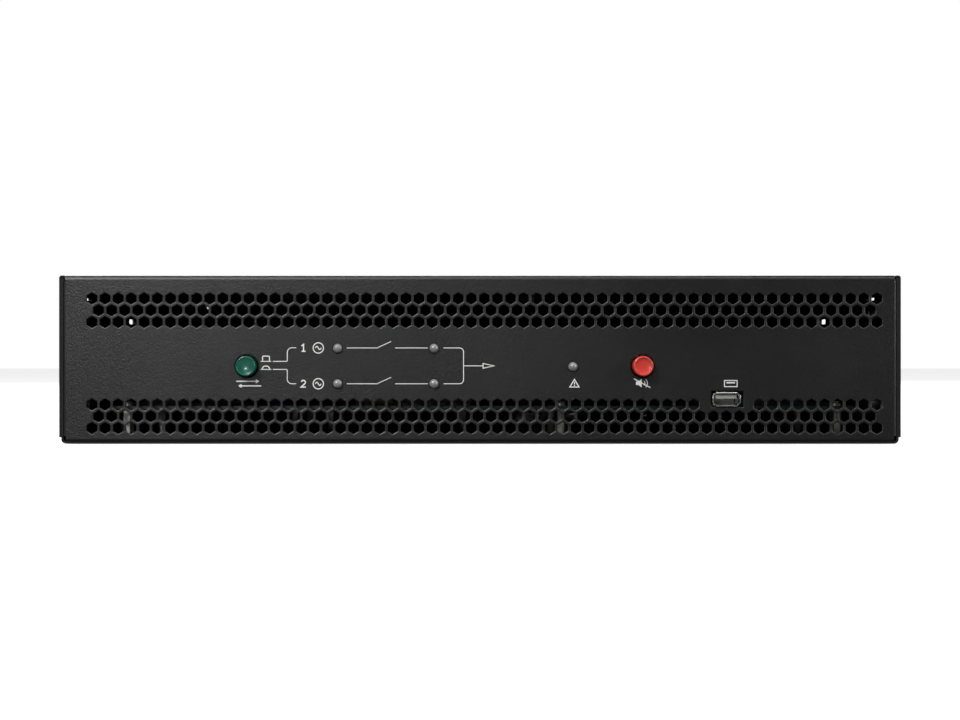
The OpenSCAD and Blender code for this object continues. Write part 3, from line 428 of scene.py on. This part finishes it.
def build_front_panel():
    bm = bmesh.new()
    t = 1.2
    xp = fp_hi.x / MM
    z0 = fp_lo.z / MM + 1.5
    z1 = fp_hi.z / MM - 2.4
    xe = xp - 1.5
    outline = [(-xe, z0), (xe, z0), (xe, z1), (-xe, z1)]

    def ring(pts, y, closed=True):
        return [bm.verts.new((x * MM, YF + y * MM, z * MM)) for x, z in pts]

    front_edges, back_edges = [], []

    def close(vs, store):
        for a, b in zip(vs, vs[1:] + vs[:1]):
            store.append(bm.edges.get((a, b)) or bm.edges.new((a, b)))

    corners_f, corners_b = ring(outline, 0.0), ring(outline, t)
    close(corners_f, front_edges)
    close(corners_b, back_edges)
    for loops in panel_holes():
        rings = [ring(lp, d) for (d, _), lp in zip(PROF, loops)]
        rings.append(ring(loops[-1], t))
        for r0, r1 in zip(rings, rings[1:]):
            n = len(r0)
            for k in range(n):
                bm.faces.new((r0[k], r0[(k + 1) % n], r1[(k + 1) % n], r1[k]))
        close(rings[0], front_edges)
        close(rings[-1], back_edges)
    for es in (front_edges, back_edges):
        bmesh.ops.triangle_fill(bm, edges=es, use_beauty=True, use_dissolve=False)
    bm.normal_update()

    def strip(profile_out, profile_in, place_fn, a, b, cuts=1):
        """A bent strip: outer and inner profile swept from a to b, closed all round."""
        outs, ins = [], []
        for s in (a, b):
            outs.append([bm.verts.new(place_fn(q, s)) for q in profile_out])
            ins.append([bm.verts.new(place_fn(q, s)) for q in profile_in])
        n = len(profile_out)
        for k in range(n - 1):
            bm.faces.new((outs[0][k], outs[0][k + 1], outs[1][k + 1], outs[1][k]))
            bm.faces.new((ins[0][k], ins[1][k], ins[1][k + 1], ins[0][k + 1]))
            for e in (0, 1):
                bm.faces.new((outs[e][k], ins[e][k], ins[e][k + 1], outs[e][k + 1]))
        bm.faces.new((outs[0][-1], ins[0][-1], ins[1][-1], outs[1][-1]))

    def leg(r, tt, depth, n=14):
        """Quarter bend from the face plane into a return of the given depth: (back, out) pairs, out measured from the bend's centre."""
        o = [(r - r * math.cos(math.radians(90 * k / n)), r * math.sin(math.radians(90 * k / n))) for k in range(n + 1)]
        i = [(r - (r - tt) * math.cos(math.radians(90 * k / n)), (r - tt) * math.sin(math.radians(90 * k / n))) for k in range(n + 1)]
        return o + [(depth, r)], i + [(depth, r - tt)]

    o, i = leg(2.4, t, 14)
    strip(o, i, lambda q, s: Vector((s * MM, YF + q[0] * MM, (z1 + q[1]) * MM)), -(xp - 1.0), xp - 1.0)
    o, i = leg(1.5, t, 12)
    strip(o, i, lambda q, s: Vector((s * MM, YF + q[0] * MM, (z0 - q[1]) * MM)), -(xp - 1.2), xp - 1.2)
    for sg in (-1, 1):
        strip(o, i, lambda q, s: Vector((sg * (xe + q[1]) * MM, YF + q[0] * MM, s * MM)), 4.1, z1 - 0.2)
    # fill the face's rim where a bend doesn't start
    edge_quads = [(-(xp - 1.0), -xe, z1, "h"), (xe, xp - 1.0, z1, "h"), (-(xp - 1.2), -xe, z0, "h"), (xe, xp - 1.2, z0, "h"),
                  (z0, 4.1, -xe, "v"), (z1 - 0.2, z1, -xe, "v"), (z0, 4.1, xe, "v"), (z1 - 0.2, z1, xe, "v")]
    for a, b, c, kind in edge_quads:
        pts = [(a, c), (b, c)] if kind == "h" else [(c, a), (c, b)]
        q = [bm.verts.new((x * MM, YF + y * MM, z * MM)) for (x, z), y in
             ((pts[0], 0), (pts[1], 0), (pts[1], t), (pts[0], t))]
        bm.faces.new(q)
    bmesh.ops.recalc_face_normals(bm, faces=bm.faces)
    ob = mesh_object("front_panel_sheet", bm, M["powder_black"], angle=15.0)
    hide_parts("front_panel", "front_panel_returns")
    return ob


build_front_panel()

# ------------------------------------------------------------------ printed marks
ink = powder("print_white", (0.62, 0.62, 0.61), rough=0.5, grain=850.0, strength=0.25, spec=0.3, lift=1.12)
print_bm = bmesh.new()
INK_Y = 0.035


def stroke(pts, w, closed=False, y=INK_Y, bm=None, at=None):
    """A flat band along a line of (x, z) points, millimetres, mitred at the corners."""
    bm = bm or print_bm
    at = at or p
    q = [Vector(a) for a in pts]
    n = len(q)
    left, right = [], []
    for k in range(n):
        if closed:
            d0, d1 = (q[k] - q[k - 1]).normalized(), (q[(k + 1) % n] - q[k]).normalized()
        else:
            d0 = (q[k] - q[k - 1]).normalized() if k else (q[1] - q[0]).normalized()
            d1 = (q[k + 1] - q[k]).normalized() if k < n - 1 else d0
        n0, n1 = Vector((-d0.y, d0.x)), Vector((-d1.y, d1.x))
        m = (n0 + n1)
        m = m.normalized() if m.length > 1e-6 else n0
        s = w / 2 / max(0.35, m.dot(n0))
        left.append(q[k] + m * s)
        right.append(q[k] - m * s)
    L = [bm.verts.new(at(a.x, a.y, y)) for a in left]
    R = [bm.verts.new(at(a.x, a.y, y)) for a in right]
    Lb = [bm.verts.new(at(a.x, a.y, -0.02)) for a in left]
    Rb = [bm.verts.new(at(a.x, a.y, -0.02)) for a in right]
    m = n if closed else n - 1
    for k in range(m):
        j = (k + 1) % n
        bm.faces.new((L[k], L[j], R[j], R[k]))
        bm.faces.new((L[k], Lb[k], Lb[j], L[j]))
        bm.faces.new((R[k], R[j], Rb[j], Rb[k]))
    if not closed:
        bm.faces.new((L[0], R[0], Rb[0], Lb[0]))
        bm.faces.new((L[-1], Lb[-1], Rb[-1], R[-1]))


def patch(pts, y=INK_Y, bm=None, at=None):
    """A filled shape."""
    bm = bm or print_bm
    at = at or p
    T = [bm.verts.new(at(x, z, y)) for x, z in pts]
    B = [bm.verts.new(at(x, z, -0.02)) for x, z in pts]
    bm.faces.new(T)
    n = len(T)
    for k in range(n):
        bm.faces.new((T[k], B[k], B[(k + 1) % n], T[(k + 1) % n]))


LW = 0.38
Z1, Z2 = 50.1, 31.4
# from the push button symbols into the two source lines
stroke([(-108.1, 43.1), (-101.1, 43.1)] + arc(-101.1, 43.6, 0.5, -90, 0, 3)[1:] + [(-100.6, 47.7)] + arc(-98.1, 47.7, 2.5, 180, 90, 8)[1:] + [(-96.0, 50.2)], LW)
stroke([(-108.1, 38.9), (-101.2, 38.9)] + arc(-101.2, 38.3, 0.6, 90, 0, 3)[1:] + [(-100.6, 34.0)] + arc(-98.1, 34.0, 2.6, 180, 270, 8)[1:] + [(-96.0, 31.4)], LW)
# button out, button in
stroke([(-114.5, 43.1), (-109.0, 43.1)], LW)
stroke([(-113.5, 43.4), (-113.5, 45.3)] + arc(-113.0, 45.35, 0.5, 180, 90, 3) + arc(-110.4, 45.35, 0.5, 90, 0, 3) + [(-109.9, 43.4)], 0.5)
stroke([(-114.5, 38.9), (-109.0, 38.9)], LW)
stroke([(-113.75, 39.2), (-113.15, 40.2), (-112.6, 40.6), (-110.9, 40.6), (-110.35, 40.2), (-109.75, 39.2)], 0.5)
# the lines after the input lamps, the switch blades and the output lamps
for z in (Z1, Z2):
    stroke([(-69.5, z), (-53.3, z)], LW)
    stroke([(-53.7, z + 0.05), (-46.4, z + 3.35)], LW * 0.95)
    stroke([(-44.3, z), (-27.2, z)], LW)
    stroke([(-19.0, z), (-10.7, z)] + (arc(-10.7, z - 2.1, 2.1, 90, 0, 6)[1:] if z == Z1 else arc(-10.7, z + 2.1, 2.1, -90, 0, 6)[1:])
           + [(-8.6, 40.75)], LW)
stroke([(-8.4, 40.75), (1.5, 40.75)], LW)
stroke([(1.6, 42.0), (1.6, 39.5), (7.3, 40.75)], 0.45, closed=True)


def numeral(d, x, z, h, w=0.66, bm=None, at=None):
    s = h / 4.0
    if d == 1:
        stroke([(x - 1.0 * s, z + 1.0 * s), (x + 0.1 * s, z + 1.85 * s), (x + 0.1 * s, z - 2.0 * s)], w, bm=bm, at=at)
        stroke([(x - 0.9 * s, z - 1.75 * s), (x + 1.1 * s, z - 1.75 * s)], w, bm=bm, at=at, y=INK_Y * 1.1)
    else:
        pts = arc(x, z + 0.75 * s, 1.05 * s, 165, -35, 10)
        stroke(pts + [(x - 1.15 * s, z - 1.72 * s), (x + 1.25 * s, z - 1.72 * s)], w, bm=bm, at=at)


def sine(x, z, w, h, lw=0.6, bm=None, at=None):
    stroke([(x - w / 2 + w * k / 20, z + h * math.sin(2 * math.pi * k / 20)) for k in range(21)], lw, bm=bm, at=at)


for k, z in ((1, Z1), (2, Z2)):
    numeral(k, -92.2, z, 4.0, 0.6)
    stroke(arc(-84.4, z, 2.7, 0, 345, 26), 0.48, closed=True)
    sine(-84.4, z, 3.0, 0.85, 0.48)


def arrow(x0, x1, z, w=0.72, head=1.75, bm=None, at=None):
    s = 1 if x1 > x0 else -1
    stroke([(x0, z), (x1 - s * head * 0.9, z)], w, bm=bm, at=at)
    patch([(x1, z), (x1 - s * head, z + 0.62 * head), (x1 - s * head, z - 0.62 * head)], bm=bm, at=at, y=INK_Y * 1.1)


# under the green button: two opposed arrows
arrow(-127.2, -115.2, 32.7, 0.6)
arrow(-114.2, -126.2, 30.3, 0.6)
# under the fault lamp: a triangle with a bar and a dot
stroke([(46.9, 29.7), (51.7, 29.7), (49.3, 33.7)], 0.5, closed=True)
stroke([(49.3, 32.4), (49.3, 31.1)], 0.5)
patch([(49.05, 30.35), (49.55, 30.35), (49.55, 30.85), (49.05, 30.85)])
# under the red button: a loudspeaker struck through
patch([(81.4, 30.8), (82.6, 30.8), (84.4, 29.5), (84.4, 33.9), (82.6, 32.6), (81.4, 32.6)])
stroke(arc(84.6, 31.7, 1.5, -48, 48, 8), 0.45)
stroke(arc(84.6, 31.7, 2.8, -48, 48, 10), 0.45)
stroke([(80.4, 34.0), (88.9, 29.4)], 0.5, y=INK_Y * 1.4)
# above the service port: the outline of a socket with its tongue
stroke([(127.6, 29.9), (134.2, 29.9), (134.2, 33.1), (127.6, 33.1)], 0.45, closed=True)
patch([(128.7, 31.6), (133.1, 31.6), (133.1, 32.3), (128.7, 32.3)])
bmesh.ops.recalc_face_normals(print_bm, faces=print_bm.faces)
mesh_object("panel_print", print_bm, ink, smooth=False)


# ------------------------------------------------------------------ push buttons
def build_button(name, node, mat_slot, rim, dish):
    lo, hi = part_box(node)
    x, z, y = (lo.x + hi.x) / 2, (lo.z + hi.z) / 2, lo.y
    r = (hi.x - lo.x) / 2
    bm = bmesh.new()
    prof = [(dish * MM, 0.0), (dish * MM, r - rim * MM - 0.35 * MM)]
    prof += [(dish * MM - (dish * MM) * (0.5 - 0.5 * math.cos(math.pi * k / 5)), r - rim * MM - 0.35 * MM + 0.35 * MM * k / 5) for k in range(1, 6)]
    rr = 0.55 * MM
    face_r = r - 0.12 * MM
    prof += [(rr - rr * math.cos(math.radians(15 * k)), face_r - rr + rr * math.sin(math.radians(15 * k))) for k in range(0, 7)]
    prof += [(2.5 * MM, r), (10 * MM, r), (10 * MM, r - 1.1 * MM), (7.8 * MM, r - 1.1 * MM), (7.8 * MM, 2.6 * MM), (10 * MM, 2.6 * MM), (10 * MM, 0)]
    add_lathe(bm, prof, (x, y, z), seg=96)
    add_box(bm, (x - 1.6 * MM, y + 9.9 * MM, z - 1.6 * MM), (x + 1.6 * MM, y + 14.2 * MM, z + 1.6 * MM))
    bmesh.ops.recalc_face_normals(bm, faces=bm.faces)
    ob = mesh_object(name, bm, M[mat_slot], body=node, angle=50)
    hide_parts(node)


build_button("transfer_button_cap", "transfer_button", "green_cap", 0.6, 0.45)
build_button("silence_button_cap", "silence_button", "red_cap", 1.0, 0.45)

# ------------------------------------------------------------------ lamps
def build_lamp(node):
    lo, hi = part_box(node)
    x, z = (lo.x + hi.x) / 2, hi.z - 2.9 * MM
    y = lo.y
    r = 2.45 * MM
    bm = bmesh.new()
    prof = [(r - r * math.cos(math.radians(6 * k)), r * math.sin(math.radians(6 * k))) for k in range(16)]
    prof += [(7.6 * MM, r), (7.6 * MM, 2.75 * MM), (7.75 * MM, 2.9 * MM), (8.5 * MM, 2.9 * MM), (8.6 * MM, 2.8 * MM), (8.6 * MM, 0)]
    add_lathe(bm, prof, (x, y, z), seg=64)
    for s in (-1, 1):
        add_box(bm, (x + s * 1.27 * MM - 0.25 * MM, y + 8.6 * MM, z - 0.25 * MM), (x + s * 1.27 * MM + 0.25 * MM, hi.y, z + 0.25 * MM), 1)
    bmesh.ops.recalc_face_normals(bm, faces=bm.faces)
    ob = mesh_object(node + "_lens", bm, [M["lamp_body"], M["zinc"]], angle=40)
    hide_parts(node)


for nm in ("source1_input_lamp", "source1_output_lamp", "source2_input_lamp", "source2_output_lamp", "fault_lamp"):
    build_lamp(nm)

# ------------------------------------------------------------------ edges of the other CAD nodes
for nm, w in (("base_chassis", 0.18), ("top_cover", 0.18), ("rear_panel", 0.2), ("rail_and_baffle", 0.2), ("slot_cover", 0.25),
              ("source1_breaker", 0.4), ("source2_breaker", 0.4), ("source1_breaker_handle", 0.5), ("source2_breaker_handle", 0.5),
              ("gland_bodies", 0.3), ("gland_nuts", 0.3), ("fan_frames", 0.4), ("fan_motor_seats", 0.3),
              ("serial_port", 0.12), ("contact_header", 0.12), ("usb_shell", 0.06), ("usb_insulator", 0.1),
              ("relays", 0.4), ("transformers", 0.4), ("heatsink", 0.2), ("thyristor_modules", 0.5), ("current_transformers", 0.5),
              ("input_busbars", 0.15), ("output_busbar", 0.15), ("board_connectors", 0.15), ("inner_terminals", 0.3)):
    soften(nm, w * MM)

# ------------------------------------------------------------------ stage
stage_col = bpy.data.collections.new("stage")
scene.collection.children.link(stage_col)


def plane(name, w, h, loc, rot, mat):
    me = bpy.data.meshes.new(name)
    me.from_pydata([(-w / 2, -h / 2, 0), (w / 2, -h / 2, 0), (w / 2, h / 2, 0), (-w / 2, h / 2, 0)], [], [(0, 1, 2, 3)])
    ob = bpy.data.objects.new(name, me)
    stage_col.objects.link(ob)
    ob.location, ob.rotation_euler = loc, rot
    me.materials.append(mat)
    return ob


fm = bpy.data.materials.new("floor_pale")
fm.use_nodes = True
fn = fm.node_tree
fn.nodes.clear()
fo = fn.nodes.new("ShaderNodeOutputMaterial")
fl = fn.nodes.new("ShaderNodeLightPath")
fx = fn.nodes.new("ShaderNodeMixShader")
fs = fn.nodes.new("ShaderNodeAddShader")
pale = fn.nodes.new("ShaderNodeBsdfDiffuse")          # as seen: white, with a little of the shadow
pale.inputs[0].default_value = (0.8, 0.8, 0.8, 1)
glow = fn.nodes.new("ShaderNodeEmission")
glow.inputs[1].default_value = 0.82
dull = fn.nodes.new("ShaderNodeBsdfDiffuse")          # as it lights the object
dull.inputs[0].default_value = (0.16, 0.16, 0.16, 1)
fn.links.new(pale.outputs[0], fs.inputs[0])
fn.links.new(glow.outputs[0], fs.inputs[1])
fn.links.new(fl.outputs["Is Camera Ray"], fx.inputs[0])
fn.links.new(dull.outputs[0], fx.inputs[1])
fn.links.new(fs.outputs[0], fx.inputs[2])
fn.links.new(fx.outputs[0], fo.inputs[0])
plane("floor", 14, 14, (0, 0, -0.0006), (0, 0, 0), fm)

ROOM = 0.05
world = bpy.data.worlds.new("studio")
scene.world = world
world.use_nodes = True
wn = world.node_tree
wn.nodes.clear()
wo = wn.nodes.new("ShaderNodeOutputWorld")
seen = wn.nodes.new("ShaderNodeBackground")          # the pale wall behind the object
seen.inputs[0].default_value = (1, 1, 1, 1)
seen.inputs[1].default_value = 1.0
lit = wn.nodes.new("ShaderNodeBackground")           # the dim room that lights it
lit.inputs[0].default_value = (1, 1, 1, 1)
lit.inputs[1].default_value = ROOM
lp = wn.nodes.new("ShaderNodeLightPath")
ms = wn.nodes.new("ShaderNodeMixShader")
wn.links.new(lp.outputs["Is Camera Ray"], ms.inputs[0])
wn.links.new(lit.outputs[0], ms.inputs[1])
wn.links.new(seen.outputs[0], ms.inputs[2])
wn.links.new(ms.outputs[0], wo.inputs[0])


def area(name, loc, target, size, power, size_y=None, color=(1, 1, 1)):
    li = bpy.data.lights.new(name, "AREA")
    li.energy = power
    li.color = color
    li.shape = "RECTANGLE"
    li.size = size
    li.size_y = size_y or size
    ob = bpy.data.objects.new(name, li)
    stage_col.objects.link(ob)
    ob.location = loc
    ob.visible_camera = False
    d = Vector(target) - Vector(loc)
    ob.rotation_euler = d.to_track_quat("-Z", "Y").to_euler()
    return ob


area("key", (-0.50, -0.85, 0.62), (-0.16, -0.225, 0.05), 0.36, 9.5)
area("glow", (-0.27, -1.07, 0.17), (-0.15, -0.225, 0.05), 0.10, 0.75)
area("top_box", (0.15, -0.80, 1.25), (0.05, -0.225, 0.04), 1.4, 10.0, 0.5)
area("right_box", (1.35, -0.75, 0.55), (0.10, -0.225, 0.04), 0.7, 11.0, 0.9)
area("rear_box", (-0.3, 1.45, 0.95), (0.0, 0.225, 0.04), 1.6, 22.0, 0.9)
area("left_side", (-1.6, 0.15, 0.75), (-0.22, 0.0, 0.04), 1.0, 8.0, 0.8)
area("right_side", (1.6, 0.15, 0.75), (0.22, 0.0, 0.04), 1.0, 8.0, 0.8)

cam = bpy.data.cameras.new("camera")
cam.sensor_width = 36.0
DIST = 0.80
CAM_X = -0.008
cam.lens = 36.0 * DIST / 0.5011
cam.shift_x = -CAM_X / 0.5011
cam_ob = bpy.data.objects.new("camera", cam)
scene.collection.objects.link(cam_ob)
cam_ob.location = (CAM_X, YF - DIST, 0.0438)
cam_ob.rotation_euler = (math.radians(90), 0, 0)
scene.camera = cam_ob
cam.clip_start, cam.clip_end = 0.01, 50
scene.view_settings.view_transform = "Standard"
